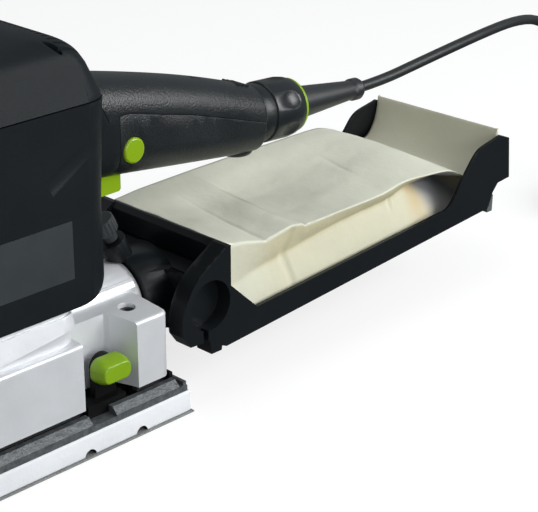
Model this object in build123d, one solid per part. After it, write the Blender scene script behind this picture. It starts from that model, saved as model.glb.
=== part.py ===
from build123d import *
import os
from math import pi, radians, sqrt, tan

# Half-sheet orbital finishing sander with a clip-on paper filter bag.
#
# Frame: origin at the centre of the sanding face, +Z up, +X to the rear (handle, bag and cord).
# All sizes are in millimetres. Each sub-part is one function and is written to parts/NODE.step.

# ---------------------------------------------------------------- fits and walls
RUN = 0.3  # clearance between parts that move past each other
FIT = 0.05  # radial clearance of a shaft or pin in its hole
SEAM = 0.3  # shadow gap between two mouldings of the grip
CAP_GAP = 0.8  # shadow gap under the top cover

# ---------------------------------------------------------------- pad
SHEET_L, SHEET_W, SHEET_T = 225.0, 115.0, 0.9
FOAM_INSET, FOAM_T = 1.0, 13.1
PLATE_INSET, PLATE_T = 2.0, 3.5
RIM_H, RIM_W = 4.5, 7.0
HOLE_PITCH, HOLE_COLS, HOLE_R, HOLE_Y = 37.0, 5, 4.5, 40.0
CARRIER_T = 4.5
FOAM_Z = SHEET_T
PLATE_Z = FOAM_Z + FOAM_T
CARRIER_Z = PLATE_Z + PLATE_T
CARRIER_TOP = CARRIER_Z + CARRIER_T

# ---------------------------------------------------------------- drive
ECC = 1.2  # half of the orbit's stroke
SHAFT_X = -ECC
SHAFT_R, CRANK_R, TAIL_R = 6.0, 5.0, 4.0
CRANK_BEARING_R, CRANK_BEARING_H = 13.0, 8.0
LOWER_BEARING_R, LOWER_BEARING_H = 16.0, 10.0
UPPER_BEARING_R, UPPER_BEARING_H = 11.0, 7.0
CRANK_Z = CARRIER_Z + 3.0  # underside of the crank bearing
WEIGHT_Z, WEIGHT_H, WEIGHT_R = 34.5, 10.0, 33.0
DUST_FAN_Z, DUST_FAN_H, DUST_FAN_R = 46.0, 8.5, 37.0

# ---------------------------------------------------------------- cast base
CAST_L, CAST_W, CAST_CORNER = 200.0, 104.0, 5.0
CAST_Z, PANEL_TOP, CAST_TOP = 26.5, 66.0, 86.0
DECK_TOP, DECK_HALF = 68.6, 20.0  # the top face falls from here to the long edges
CAST_WALL = 4.0
SEAT_X0, SEAT_X1, SEAT_HALF = -60.0, 43.0, 47.5  # seat of the motor at the top of its band
BAND_Z0, BAND_Z1, BAND_OUT = 66.9, 83.0, 4.3
BAND_EDGE_Z, BAND_RISE = 72.4, 0.092  # lower edge of the band, which rises to the rear
CAVITY_R, UPPER_CAVITY_R = 41.0, 36.0
DECK_Z, DECK_T = 56.0, 10.0  # web that carries the lower motor bearing
POCKET_X0, POCKET_X1 = 38.5, 76.6
POST_X, POST_Y, POST_R = 84.6, 34.2, 7.0
SOCKET_TOP, SCREW_SEAT = 58.0, 62.0  # rubber post's socket, seat of its screw
DUCT_Z, DUCT_R, NECK_R, NECK_X = 55.5, 13.5, 23.5, 106.0

# ---------------------------------------------------------------- lever
LEVER_X, LEVER_Z = 60.5, 42.3
LEVER_D, LEVER_FACE_Y = 11.0, 54.0
LEVER_FORM = [(0.0, 18.5, 9.8, 4.0), (3.0, 21.0, 12.4, 5.0), (11.0, 21.5, 14.4, 5.6)]  # depth, length, height, corner
LEVER_PIN_R, EAR_T = 4.0, 4.6

# ---------------------------------------------------------------- motor housing
BODY_X0, BODY_X1, BODY_W = -62.0, 67.8, 96.0
FRONT_R, REAR_R, FOOT_R = 30.0, 18.0, 26.3  # plan corners and the round under both ends
FLARE_Z, FLARE_X, FLARE_W = 138.0, 1.9, 4.0  # the sides flare out a little above here
BODY_Z0, CAP_Z = 86.0, 196.5
BODY_WALL = 3.0
MOUTH_X, MOUTH_TOP = 60.0, 190.0  # opening from the casing into the grip
CAP_BAND = (18.0, 8.0, 10.0)  # height, inset and corner at the top of the cover's band
CAP_CROWN = [CAP_BAND, (22.5, 10.2, 10.0), (26.5, 13.0, 11.0), (29.5, 17.0, 12.0),
             (31.5, 22.0, 14.0), (33.0, 30.0, 14.0), (33.6, 40.0, 8.0)]

# ---------------------------------------------------------------- motor
STATOR_Z0, STATOR_H, STATOR_BORE = 100.0, 50.0, 26.0
ROTOR_R, ROTOR_SLOTS = 25.0, 12
COMM_Z, COMM_H, COMM_R = 163.0, 14.0, 14.0
BRUSH_Z = COMM_Z + COMM_H / 2
BRIDGE_Z = 180.0
FAN_Z, FAN_H, FAN_R = 68.5, 15.0, 33.0

# ---------------------------------------------------------------- handle
HANDLE = [  # station X, centre Z, height, width
    (58.0, 166.4, 66.0, 48.0),
    (100.0, 162.5, 59.0, 42.0),
    (136.0, 155.8, 55.0, 40.0),
    (166.0, 149.7, 50.7, 39.0),
    (194.0, 143.5, 45.3, 38.0),
    (217.0, 138.8, 39.2, 36.3),
]
HANDLE_WALL = 2.5
TRUNK_X, UPPER_X = 95.5, 88.0
TRIGGER_X0, TRIGGER_X1, TRIGGER_W, TRIGGER_Z0, TRIGGER_H = 90.0, 105.6, 16.0, 123.6, 17.4
BUTTON_X, BUTTON_Z, BUTTON_R, BUTTON_FACE = 105.0, 150.7, 7.5, 22.0
BOSS_X, BOSS_R, BOSS_Z = 203.0, 10.5, 118.8  # screw boss under the grip's end

# ---------------------------------------------------------------- supply connector
INLET_X, INLET_Z, INLET_TILT = 211.1, 141.0, 3.35
INLET_L, INLET_R, INLET_NECK_R = 9.5, 18.0, 12.5
PLUG_CAP_L, PLUG_CAP_R, RING_L = 26.5, 18.8, 2.6
DIMPLE_R, DIMPLE_DEPTH, DIMPLES = 16.0, 1.9, 6
BOOT_R0, BOOT_R1 = 10.5, 6.6
CORD_D = 7.0

# ---------------------------------------------------------------- dust cradle
CRADLE_W, CHEEK_IN, PLATE_WALL = 110.4, 43.0, 2.4
TRAY_X0, TRAY_Z0, TRAY_X1, TRAY_Z1 = 141.0, 30.8, 380.0, 48.2
HEADER_X0, HEADER_X1, HEADER_TOP, SHELF_Z = 130.0, 145.0, 92.7, 73.6
COLLAR_X0, COLLAR_R, COLLAR_BORE = 107.0, 27.5, 20.4
STUB_R, STUB_X1 = 20.0, 126.0
PORT_X, PORT_Z, PORT_R, PORT_DEPTH = 129.0, 60.2, 15.2, 10.0
CLAMP_X, CLAMP_Z, CLAMP_TILT = 107.0, 85.0, 25.4
BAG_W, BAG_X1, FOLD_X = 100.0, 378.0, 350.0
FLANGE_T = 2.0

# ---------------------------------------------------------------- supply cord
COIL_X, COIL_Y, COIL_IN, COIL_OUT, COIL_H = 556.0, -58.0, 26.0, 54.0, 28.0
CORD_ROUTE = [
    (312.0, 0.0, 135.2),
    (336.0, 0.0, 135.3),
    (368.0, 0.2, 138.6),
    (404.0, 0.6, 142.0),
    (444.0, 2.5, 144.6),
    (484.0, 7.5, 144.2),
    (522.0, 15.5, 137.0),
    (556.0, 19.5, 119.0),
    (583.0, 12.5, 92.0),
    (598.0, -5.0, 62.0),
    (602.5, -30.0, 38.0),
    (601.0, -58.0, 25.0),
]
TAIL_ROUTE = [(556.0, -8.5, 4.2), (578.0, -7.6, 4.4), (600.0, -9.5, 8.5), (620.0, -8.6, 13.0)]
PLUG_X, PLUG_Y, PLUG_W, PLUG_H, PLUG_L = 620.0, -8.6, 36.0, 26.0, 28.0
PIN_R, PIN_L, PIN_PITCH = 2.4, 19.0, 19.0


# ================================================================ helpers
def block(x0, x1, y0, y1, z0, z1):
    """A box between its low and high corners."""
    centre = ((x0 + x1) / 2, (y0 + y1) / 2, (z0 + z1) / 2)
    return Pos(*centre) * Box(x1 - x0, y1 - y0, z1 - z0)


def post(x, y, z0, z1, radius):
    """A vertical cylinder."""
    return Pos(x, y, (z0 + z1) / 2) * Cylinder(radius, z1 - z0)


def bar_x(x0, x1, y, z, radius):
    """A cylinder along X."""
    return Pos((x0 + x1) / 2, y, z) * Rot(0, 90, 0) * Cylinder(radius, x1 - x0)


def bar_y(x, y0, y1, z, radius):
    """A cylinder along Y."""
    return Pos(x, (y0 + y1) / 2, z) * Rot(90, 0, 0) * Cylinder(radius, y1 - y0)


def tube(x, y, z0, z1, inner, outer):
    """A vertical ring."""
    return post(x, y, z0, z1, outer) - post(x, y, z0 - 1, z1 + 1, inner)


def slab(outline, z0, z1):
    """A plan outline extruded between two heights."""
    return extrude(Plane.XY.offset(z0) * outline, z1 - z0)


def side_slab(outline, y0, y1):
    """A side-view outline (X across, Z up) extruded between two Y planes."""
    return extrude(Plane(origin=(0, y1, 0), x_dir=(1, 0, 0), z_dir=(0, -1, 0)) * outline, y1 - y0)


def outline_of(points):
    """A closed straight-sided outline."""
    return make_face(Polyline(*points, close=True))


def turned(shape):
    """The same form on the diagonally opposite corner of the pad."""
    return Rot(0, 0, 180) * shape


def plan_outline(x0, x1, width, front, rear):
    """A rectangle in plan, centred on Y = 0, with one corner radius in front and one behind."""
    outline = Pos((x0 + x1) / 2, 0) * Rectangle(x1 - x0, width)
    outline = fillet(outline.vertices().group_by(Axis.X)[0], front)
    return fillet(outline.vertices().group_by(Axis.X)[-1], rear)


# ================================================================ pad
def hole_centres():
    first = -HOLE_PITCH * (HOLE_COLS - 1) / 2
    return [(first + i * HOLE_PITCH, side * HOLE_Y) for side in (-1, 1) for i in range(HOLE_COLS)]


def abrasive_sheet():
    sheet = slab(Rectangle(SHEET_L, SHEET_W), 0, SHEET_T)
    for x, y in hole_centres():
        sheet -= post(x, y, -1, SHEET_T + 1, HOLE_R)
    return sheet


def pad_foam():
    """Cushion with a dust channel from each hole out to the long edge."""
    foam = slab(Rectangle(SHEET_L - 2 * FOAM_INSET, SHEET_W - 2 * FOAM_INSET), FOAM_Z, PLATE_Z)
    for x, y in hole_centres():
        foam -= post(x, y, FOAM_Z - 1, PLATE_Z + 1, HOLE_R)
        edge = y / abs(y) * SHEET_W
        foam -= bar_y(x, min(y, edge), max(y, edge), FOAM_Z, HOLE_R)
    return foam


def pad_plate():
    """Aluminium plate with a cast rim along each long edge, open beside the levers."""
    length, width = SHEET_L - 2 * PLATE_INSET - 2, SHEET_W - 2 * PLATE_INSET
    plate = slab(Rectangle(length, width), PLATE_Z, CARRIER_Z)
    edge = width / 2
    profile = outline_of([
        (edge - RIM_W, CARRIER_Z), (edge, CARRIER_Z), (edge, CARRIER_Z + 0.8),
        (edge - 3.5, CARRIER_Z + RIM_H), (edge - RIM_W, CARRIER_Z + RIM_H)])
    for x0, x1 in ((-length / 2, POCKET_X0 + 2), (POCKET_X1 - 19.5, length / 2 - 6)):
        rim = extrude(Plane(origin=(x0, 0, 0), x_dir=(0, 1, 0), z_dir=(1, 0, 0)) * profile, x1 - x0)
        near = mirror(rim, Plane.XZ)
        plate += near + turned(near)
    for side in (-1, 1):
        x = side * (length / 2 - 1.2)
        plate += block(x - 1.2, x + 1.2, -edge + 1, edge - 1, CARRIER_Z, CARRIER_Z + 2.2)
    for x, y in hole_centres():
        plate -= post(x, y, PLATE_Z - 1, CARRIER_Z + 1, HOLE_R - 0.5)
    return plate


def end_strips():
    """Black stop strips that stand up across both ends of the plate."""
    x1 = SHEET_L / 2 - PLATE_INSET - 1 - 2.4 - 0.1
    rear = block(x1 - 2.6, x1, -46, 46, CARRIER_Z, CARRIER_Z + 6.0)
    return Compound(children=[rear, turned(rear)])


def pad_carrier():
    """Moulded carrier that holds the crank bearing and an ear for each lever."""
    body = slab(RectangleRounded(2 * (SHEET_L / 2 - 14), 86, 6), CARRIER_Z, CARRIER_TOP)
    body += post(0, 0, CARRIER_Z, CRANK_Z + CRANK_BEARING_H + 2.5, CRANK_BEARING_R + 5)
    body -= post(0, 0, CRANK_Z, CRANK_Z + CRANK_BEARING_H, CRANK_BEARING_R)
    body -= post(0, 0, CRANK_Z - 2, CRANK_Z + CRANK_BEARING_H + 3, CRANK_BEARING_R - 3)
    body += lever_ear() + turned(lever_ear())
    for x, y in hole_centres():
        body -= post(x, y, CARRIER_Z - 1, CARRIER_TOP + 1, HOLE_R - 0.5)
    return body


def ear_span():
    """The Y planes of a lever's ear."""
    y0 = -LEVER_FACE_Y + LEVER_D + RUN
    return y0, y0 + EAR_T


def lever_ear():
    y0, y1 = ear_span()
    radius = LEVER_PIN_R + 3.5
    ear = block(LEVER_X - radius, LEVER_X + radius, y0, y1, CARRIER_Z + 1, LEVER_Z)
    ear += bar_y(LEVER_X, y0, y1, LEVER_Z, radius)
    ear += block(LEVER_X - 17, LEVER_X + 10, y0 - 5, y1, CARRIER_Z, CARRIER_TOP + 3)
    ear -= bar_y(LEVER_X, y0 - 1, y1 + 1, LEVER_Z, LEVER_PIN_R + FIT)
    return ear


def crank_bearing():
    return tube(0, 0, CRANK_Z, CRANK_Z + CRANK_BEARING_H, CRANK_R + FIT, CRANK_BEARING_R)


# ================================================================ levers
def lever_knob():
    """Lozenge-shaped knob that narrows towards its face."""
    y0 = -LEVER_FACE_Y
    sections = []
    for depth, length, height, corner in LEVER_FORM:
        plane = Plane(origin=(LEVER_X, y0 + depth, LEVER_Z), x_dir=(1, 0, 0), z_dir=(0, -1, 0))
        sections.append(plane * RectangleRounded(length, height, corner))
    knob = loft(sections)
    knob = fillet(knob.faces().sort_by(Axis.Y)[0].edges(), 1.2)
    return knob - bar_y(LEVER_X, y0 + 4, y0 + LEVER_D + 1, LEVER_Z, LEVER_PIN_R + FIT / 2)


def lever_shaft():
    """Pin through the ear, with the cam disc that draws the pad plate up."""
    y0, y1 = -LEVER_FACE_Y + 4, ear_span()[1] + RUN
    shaft = bar_y(LEVER_X, y0, y1 + 1.8, LEVER_Z, LEVER_PIN_R)
    shaft += bar_y(LEVER_X + 1.5, y1, y1 + 1.8, LEVER_Z - 1.5, LEVER_PIN_R + 1.6)
    return shaft


# ================================================================ armature and drive
def motor_shaft():
    """Shaft with the crank pin at its lower end."""
    shaft = post(SHAFT_X, 0, WEIGHT_Z - 1.5, BRIDGE_Z, SHAFT_R)
    shaft += post(SHAFT_X, 0, BRIDGE_Z, BRIDGE_Z + UPPER_BEARING_H + 2.5, TAIL_R)
    shaft += post(0, 0, CRANK_Z - 0.8, WEIGHT_Z - 1.5, CRANK_R)
    shaft += post(SHAFT_X, 0, WEIGHT_Z - 1.5, WEIGHT_Z - 0.2, CRANK_R + 4)
    return shaft


def counterweight():
    disc = post(SHAFT_X, 0, WEIGHT_Z, WEIGHT_Z + WEIGHT_H, WEIGHT_R)
    cut = WEIGHT_R + 2
    disc -= block(SHAFT_X + 4, SHAFT_X + cut, -cut, cut, WEIGHT_Z - 1, WEIGHT_Z + WEIGHT_H + 1)
    disc += post(SHAFT_X, 0, WEIGHT_Z, WEIGHT_Z + WEIGHT_H, SHAFT_R + 6)
    return disc - post(SHAFT_X, 0, WEIGHT_Z - 1, WEIGHT_Z + WEIGHT_H + 1, SHAFT_R)


def bladed_fan(z0, height, radius, hub, blades, thick):
    """A radial fan: back plate, hub and straight swept blades."""
    fan = post(SHAFT_X, 0, z0, z0 + thick, radius)
    fan += post(SHAFT_X, 0, z0, z0 + height, hub)
    blade = block(hub - 1, radius, -thick / 2, thick / 2, z0, z0 + height)
    for i in range(blades):
        fan += Pos(SHAFT_X, 0, 0) * Rot(0, 0, 360 * i / blades) * blade
    return fan - post(SHAFT_X, 0, z0 - 1, z0 + height + 1, SHAFT_R)


def armature_core():
    core = post(SHAFT_X, 0, STATOR_Z0, STATOR_Z0 + STATOR_H, ROTOR_R)
    slot = block(ROTOR_R - 8, ROTOR_R + 1, -1.6, 1.6, STATOR_Z0 - 1, STATOR_Z0 + STATOR_H + 1)
    for i in range(ROTOR_SLOTS):
        core -= Pos(SHAFT_X, 0, 0) * Rot(0, 0, 360 * i / ROTOR_SLOTS) * slot
    return core - post(SHAFT_X, 0, STATOR_Z0 - 1, STATOR_Z0 + STATOR_H + 1, SHAFT_R)


def armature_windings():
    """End turns of the winding, above and below the core."""
    top, low = STATOR_Z0 + STATOR_H, STATOR_Z0
    return Compound(children=[
        tube(SHAFT_X, 0, low - 9, low, SHAFT_R, ROTOR_R - 4),
        tube(SHAFT_X, 0, top, top + 10, SHAFT_R, ROTOR_R - 4)])


def commutator():
    ring = tube(SHAFT_X, 0, COMM_Z, COMM_Z + COMM_H, SHAFT_R, COMM_R)
    groove = block(COMM_R - 1.2, COMM_R + 1, -0.4, 0.4, COMM_Z - 1, COMM_Z + COMM_H + 1)
    for i in range(2 * ROTOR_SLOTS):
        ring -= Pos(SHAFT_X, 0, 0) * Rot(0, 0, 360 * i / (2 * ROTOR_SLOTS)) * groove
    return ring


# ================================================================ cast base
def pocket_outline(grow=0.0):
    """Plan of the recess beside a lever, grown outwards by the wall around it."""
    out = CAST_W / 2 + 8
    outline = outline_of([
        (POCKET_X0, -out), (POCKET_X0, -36), (POCKET_X0 + 4, -32), (POCKET_X1 - 8, -32.3),
        (POCKET_X1 - 5.4, -35), (POCKET_X1 - 1.6, -46), (POCKET_X1, -52), (POCKET_X1, -out)])
    inner = [v for v in outline.vertices() if v.Y > -out + 1]
    outline = fillet(inner, 1.6)
    return offset(outline, amount=grow) if grow else outline


def pocket(z0, z1, grow=0.0):
    near = slab(pocket_outline(grow), z0, z1)
    return near + turned(near)


def post_centres():
    return [(sx * POST_X, sy * POST_Y) for sx in (-1, 1) for sy in (-1, 1)]


def motor_seat():
    """Cove, then a sloping band whose lower edge rises to the rear, then a set-back rim."""
    x0, x1, width = SEAT_X0, SEAT_X1, 2 * SEAT_HALF
    cove = slab(plan_outline(x0 + 1, x1 - 1, width - 1, 27, 14), PANEL_TOP - 4, BAND_Z1 - 3)
    wide = plan_outline(x0 - BAND_OUT, x1 + BAND_OUT, width + 2 * BAND_OUT, 31, 18)
    band = loft([
        Plane.XY.offset(BAND_Z0) * wide,
        Plane.XY.offset(BAND_Z1) * plan_outline(x0, x1, width, 27, 14)])
    low, high = BAND_EDGE_Z - 80 * BAND_RISE, BAND_EDGE_Z + 80 * BAND_RISE
    band -= side_slab(outline_of([(-80, 50), (80, 50), (80, high), (-80, low)]), -60, 60)
    return cove + band + slab(plan_outline(x0 + 2, x1 - 2, width - 3, 25, 12), BAND_Z1 - 4, CAST_TOP)


def deck_roof():
    """The casting's top face, highest along the middle."""
    half, low = CAST_W / 2 + 1, PANEL_TOP - 1 / 12
    profile = outline_of([(-half, 58), (half, 58), (half, low), (DECK_HALF, DECK_TOP), (-DECK_HALF, DECK_TOP), (-half, low)])
    start = Plane(origin=(-CAST_L / 2 - 1, 0, 0), x_dir=(0, 1, 0), z_dir=(1, 0, 0))
    return extrude(start * profile, CAST_L + 2)


def neck_ridges():
    """Raised ridge along each side of the dust neck, with a groove beside it."""
    profile = outline_of([(-14, 62), (-14, 70), (-15.6, 72.9), (-17.2, 73.6), (-18.8, 72.4), (-20.8, 69.6), (-20.8, 62)])
    ridge = extrude(Plane(origin=(50, 0, 0), x_dir=(0, 1, 0), z_dir=(1, 0, 0)) * profile, 53)
    return ridge + mirror(ridge, Plane.XZ)


def base_casting():
    """Die-cast base: skirt panel, corner blocks, bearing web, dust neck and motor seat."""
    base = slab(RectangleRounded(CAST_L, CAST_W, CAST_CORNER), CAST_Z, DECK_TOP + 2)
    base -= slab(Rectangle(CAST_L + 4, CAST_W + 4), PANEL_TOP - 6, DECK_TOP + 4) - deck_roof()
    top = base.edges().filter_by(lambda e: e.center().Z > PANEL_TOP - 1 and (
        abs(e.center().X) > CAST_L / 2 - 4 or abs(e.center().Y) > CAST_W / 2 - 4))
    base = fillet(top, 2.2)
    base += neck_ridges()
    base += bar_x(30, NECK_X, 0, DUCT_Z, NECK_R)
    base += motor_seat()
    # hollows, open below, that leave the walls, posts and duct standing
    hollow = Part()
    for x0, x1 in ((-CAST_L / 2 + CAST_WALL, -46), (46, CAST_L / 2 - CAST_WALL)):
        half = CAST_W / 2 - CAST_WALL
        hollow += block(x0, x1, -half, half, CAST_Z - 1, PANEL_TOP - CAST_WALL)
    hollow -= pocket(CAST_Z - 2, PANEL_TOP, CAST_WALL - 0.5)
    hollow -= bar_x(20, CAST_L / 2, 0, DUCT_Z, DUCT_R + CAST_WALL)
    for x, y in post_centres():
        hollow -= post(x, y, PANEL_TOP - 26, PANEL_TOP, POST_R + 3)
    base -= hollow
    base -= pocket(CAST_Z - 1, CAST_TOP + 1)
    # drive cavity, bearing web, upper cavity and duct
    base -= post(SHAFT_X, 0, CAST_Z - 1, DECK_Z, CAVITY_R)
    base -= post(SHAFT_X, 0, DECK_Z + DECK_T, CAST_TOP + 1, UPPER_CAVITY_R)
    base -= post(SHAFT_X, 0, DECK_Z - 1, DECK_Z + DECK_T + 1, SHAFT_R + 4)
    base -= post(SHAFT_X, 0, DECK_Z - 1, DECK_Z + LOWER_BEARING_H - 1, LOWER_BEARING_R)
    base -= bar_x(36, 92, 0, DUCT_Z, DUCT_R)
    base -= bar_x(92, NECK_X + 1, 0, DUCT_Z, DUCT_R + 4)
    # post sockets with screw holes from above
    for x, y in post_centres():
        base -= post(x, y, CAST_Z - 1, SOCKET_TOP, POST_R)
        base -= post(x, y, SOCKET_TOP - 1, DECK_TOP + 1, 2.5)
        base -= post(x, y, SCREW_SEAT, DECK_TOP + 1, 5.0)
    for x, y in housing_screw_centres():
        base -= post(x, y, CAST_TOP - 12, CAST_TOP + 1, 2.0)
    return base


def lower_bearing():
    return tube(SHAFT_X, 0, DECK_Z - 1, DECK_Z + LOWER_BEARING_H - 1, SHAFT_R + FIT, LOWER_BEARING_R)


def exhaust_stub():
    """Outlet pipe pressed into the neck; its bore takes a 27 mm hose."""
    pipe = bar_x(92, NECK_X, 0, DUCT_Z, DUCT_R + 4 - FIT) + bar_x(NECK_X, STUB_X1, 0, DUCT_Z, STUB_R)
    return pipe - bar_x(90, STUB_X1 + 1, 0, DUCT_Z, DUCT_R)


def dust_skirt():
    """Rubber strip under the casting that closes the gap to the pad."""
    ring = slab(RectangleRounded(CAST_L - 6, CAST_W - 6, 6), CARRIER_TOP + 0.8, CAST_Z)
    ring -= slab(RectangleRounded(CAST_L - 13, CAST_W - 13, 4), CARRIER_TOP, CAST_Z + 1)
    return ring - pocket(CARRIER_TOP, CAST_Z + 1, 2.0)


def elastic_mounts():
    """Four rubber posts that hold the pad level while it orbits."""
    posts = []
    for x, y in post_centres():
        leg = post(x, y, CARRIER_TOP + RUN, SOCKET_TOP, POST_R)
        waist = tube(x, y, CARRIER_TOP + 5, CAST_Z + 9, POST_R - 1.5, POST_R + 1)
        posts.append(leg - waist)
    return Compound(children=posts)


def block_screws():
    """Socket screws in the corner blocks that hold the rubber posts."""
    screws = []
    for x, y in post_centres():
        head = SCREW_SEAT + 3.0
        screw = post(x, y, SOCKET_TOP, SCREW_SEAT, 2.4) + post(x, y, SCREW_SEAT, head, 4.9)
        socket = Pos(x, y, head) * extrude(RegularPolygon(2.6, 6), -2.0)
        screws.append(screw - socket)
    return Compound(children=screws)


# ================================================================ motor housing
def housing_plan(z, inset=0.0):
    """Plan of the housing at a height, drawn in from its outline."""
    flare = max(z - FLARE_Z, 0.0) / (CAP_Z - FLARE_Z)
    x1, width = BODY_X1 + FLARE_X * flare, BODY_W + FLARE_W * flare
    outline = plan_outline(BODY_X0 + inset, x1 - inset, width - 2 * inset, FRONT_R - inset, REAR_R - inset)
    return Plane.XY.offset(z) * outline


def cap_plan(height, inset, corner):
    """Plan of the top cover at a height above the housing."""
    x1, width = BODY_X1 + FLARE_X, BODY_W + FLARE_W
    front = max(FRONT_R - inset, corner)
    outline = plan_outline(BODY_X0 + inset, x1 - inset, width - 2 * inset, front, corner)
    return Plane.XY.offset(CAP_Z + height) * outline


def handle_solid(shrink=0.0):
    """The whole grip as one smooth loft; shrink gives the space inside it."""
    sections = []
    for x, z, height, width in HANDLE:
        h, w = height - 2 * shrink, width - 2 * shrink
        plane = Plane(origin=(x, 0, z), x_dir=(0, 1, 0), z_dir=(1, 0, 0))
        sections.append(plane * RectangleRounded(w, h, min(w, h) * 0.46))
    return loft(sections)


def above_seam(gap=0.0):
    """Region above the line where the two handle shells meet, behind the sloping front joint."""
    start, end = (UPPER_X, 170.6 + gap), (216.0, 139.2 + gap)
    line = Spline(start, (95.3, 172.4 + gap), (118.2, 168.4 + gap),
                  (147.3, 160.9 + gap), (174.4, 152.6 + gap), end)
    top = (UPPER_X - 0.53 * 59.4, 230.0)
    edge = [line, Line(end, (216.0, 230.0)), Line((216.0, 230.0), top), Line(top, start)]
    return side_slab(make_face(edge), -60, 60)


def housing_screw_centres():
    return [(x, y) for x in (-31.0, 34.0) for y in (-31.0, 31.0)]


def casing_form(wall=0.0):
    """The casing's outer form, or the space inside a wall, both rounded under their ends."""
    top = CAP_Z + (1.0 if wall else 0.0)
    form = extrude(housing_plan(50, wall), FLARE_Z - 50) + loft([housing_plan(FLARE_Z, wall), housing_plan(top, wall)])
    radius = FOOT_R - wall
    z = BODY_Z0 + FOOT_R
    rear, front = BODY_X1 - 26.0, BODY_X0 + 26.0
    profile = [
        Line((front, z - radius), (rear, z - radius)),
        ThreePointArc((rear, z - radius), (rear + radius * sqrt(0.5), z - radius * sqrt(0.5)), (rear + radius, z)),
        Line((rear + radius, z), (rear + 60, z)), Line((rear + 60, z), (rear + 60, 260)),
        Line((rear + 60, 260), (front - 60, 260)), Line((front - 60, 260), (front - 60, z)),
        Line((front - 60, z), (front - radius, z)),
        ThreePointArc((front - radius, z), (front - radius * sqrt(0.5), z - radius * sqrt(0.5)), (front, z - radius))]
    return form & side_slab(make_face(profile), -60, 60)


def inner_half(z):
    """Half of the casing's inner width at a height."""
    return BODY_W / 2 + FLARE_W / 2 * max(z - FLARE_Z, 0.0) / (CAP_Z - FLARE_Z) - BODY_WALL


def side_scoop():
    """Shallow concave crease that sweeps down and forward from the rear edge."""
    radius, depth = 14.0, 0.7
    start, end = Vector(24, -48.3 - radius + depth, 156.5), Vector(72, -50.1 - radius + depth, 184.5)
    way = end - start
    plane = Plane(origin=start, z_dir=way)
    scoop = extrude(plane * Circle(radius), way.length)
    return scoop


def motor_housing():
    """Tall moulded motor casing with the root of the handle at its rear."""
    housing = casing_form() - side_scoop()
    trunk = handle_solid() & block(MOUTH_X, TRUNK_X, -40, 40, 120, 230)
    trunk -= above_seam()
    trunk -= block(50, BODY_X1 + FLARE_X + 0.5, -40, 40, CAP_Z, 240)
    housing += trunk
    housing -= casing_form(BODY_WALL)
    space = handle_solid(HANDLE_WALL)
    housing -= space & block(MOUTH_X, 72, -40, 40, 100, MOUTH_TOP)
    housing -= space & block(71, TRUNK_X + 1, -40, 40, 100, 230)
    housing -= post(SHAFT_X, 0, BODY_Z0 - 1, BODY_Z0 + BODY_WALL + 1, UPPER_CAVITY_R)
    housing -= trigger_slot()
    for x, y in housing_screw_centres():
        housing -= post(x, y, BODY_Z0 - 1, BODY_Z0 + BODY_WALL + 1, 2.0)
    housing -= label_recess()
    dial_floor = dial_face() - DIAL_T
    housing -= bar_y(DIAL_X, dial_floor, dial_floor + 6, DIAL_Z, DIAL_R + RUN)
    return housing


def top_cap():
    """Domed cover: a bevelled band, then a crown with the cooling air slots."""
    height, inset, corner = CAP_BAND
    foot = CAP_GAP * inset / height
    band = loft([cap_plan(CAP_GAP, foot, REAR_R - foot), cap_plan(*CAP_BAND)])
    crown = loft([cap_plan(*section) for section in CAP_CROWN])
    cap = band + crown
    cap -= loft([cap_plan(CAP_GAP - 1, 4.5, 13.5), cap_plan(height - 1, inset + 3.5, 7.5)])
    cap -= loft([cap_plan(h - 3.2, i + 3.5, r - 2.5) for h, i, r in CAP_CROWN[:5]])
    lip_z0, lip_z1 = CAP_Z - 3.0, CAP_Z + CAP_GAP + 2.0
    lip = loft([housing_plan(z, BODY_WALL + FIT) for z in (lip_z0, lip_z1)])
    lip -= loft([housing_plan(z, BODY_WALL + 2.2) for z in (lip_z0 - 1, lip_z1 + 1)])
    cap += lip
    for tool in cap_slots():
        cap -= tool
    return cap


def cap_slots():
    """A row of narrow air slots over the rear shoulder and one almond opening."""
    tools = []
    for i in range(-8, 9):
        y = 4.5 * i
        tools.append(block(44.5, 57.0, y - 0.8, y + 0.8, CAP_Z + 16, CAP_Z + 40))
    almond = extrude(Ellipse(5.4, 1.9), 14, both=True)
    return tools + [Pos(42, -33.7, CAP_Z + 27) * Rot(0, 0, -57) * almond]


LABEL_X0, LABEL_X1, LABEL_Z0, LABEL_Z1, LABEL_T = -34.0, 38.3, 103.5, 136.0, 0.6


def label_recess():
    y = -BODY_W / 2
    return block(LABEL_X0 - 0.2, LABEL_X1 + 0.2, y - 1, y + 0.35, LABEL_Z0 - 0.2, LABEL_Z1 + 0.2)


def label_panel():
    """Bare name-plate panel in a shallow recess."""
    y = -BODY_W / 2
    return block(LABEL_X0, LABEL_X1, y - 0.25, y + 0.35, LABEL_Z0, LABEL_Z1)


def housing_screws():
    screws = []
    for x, y in housing_screw_centres():
        z = BODY_Z0 + BODY_WALL
        screws.append(post(x, y, CAST_TOP - 12, z, 1.95) + post(x, y, z, z + 3.5, 4.0))
    return Compound(children=screws)


# ================================================================ fixed motor parts
def stator_core():
    """Laminated field core that seats on the housing's side walls."""
    half = BODY_W / 2 - BODY_WALL - RUN
    plan = Pos(SHAFT_X, 0) * RectangleRounded(86, 2 * half, 24)
    core = slab(plan, STATOR_Z0, STATOR_Z0 + STATOR_H)
    return core - post(SHAFT_X, 0, STATOR_Z0 - 1, STATOR_Z0 + STATOR_H + 1, STATOR_BORE)


def field_coils():
    top = STATOR_Z0 + STATOR_H
    return Compound(children=[
        tube(SHAFT_X, 0, STATOR_Z0 - 8, STATOR_Z0, STATOR_BORE + 1, STATOR_BORE + 13),
        tube(SHAFT_X, 0, top, top + 8, STATOR_BORE + 1, STATOR_BORE + 13)])


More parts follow.
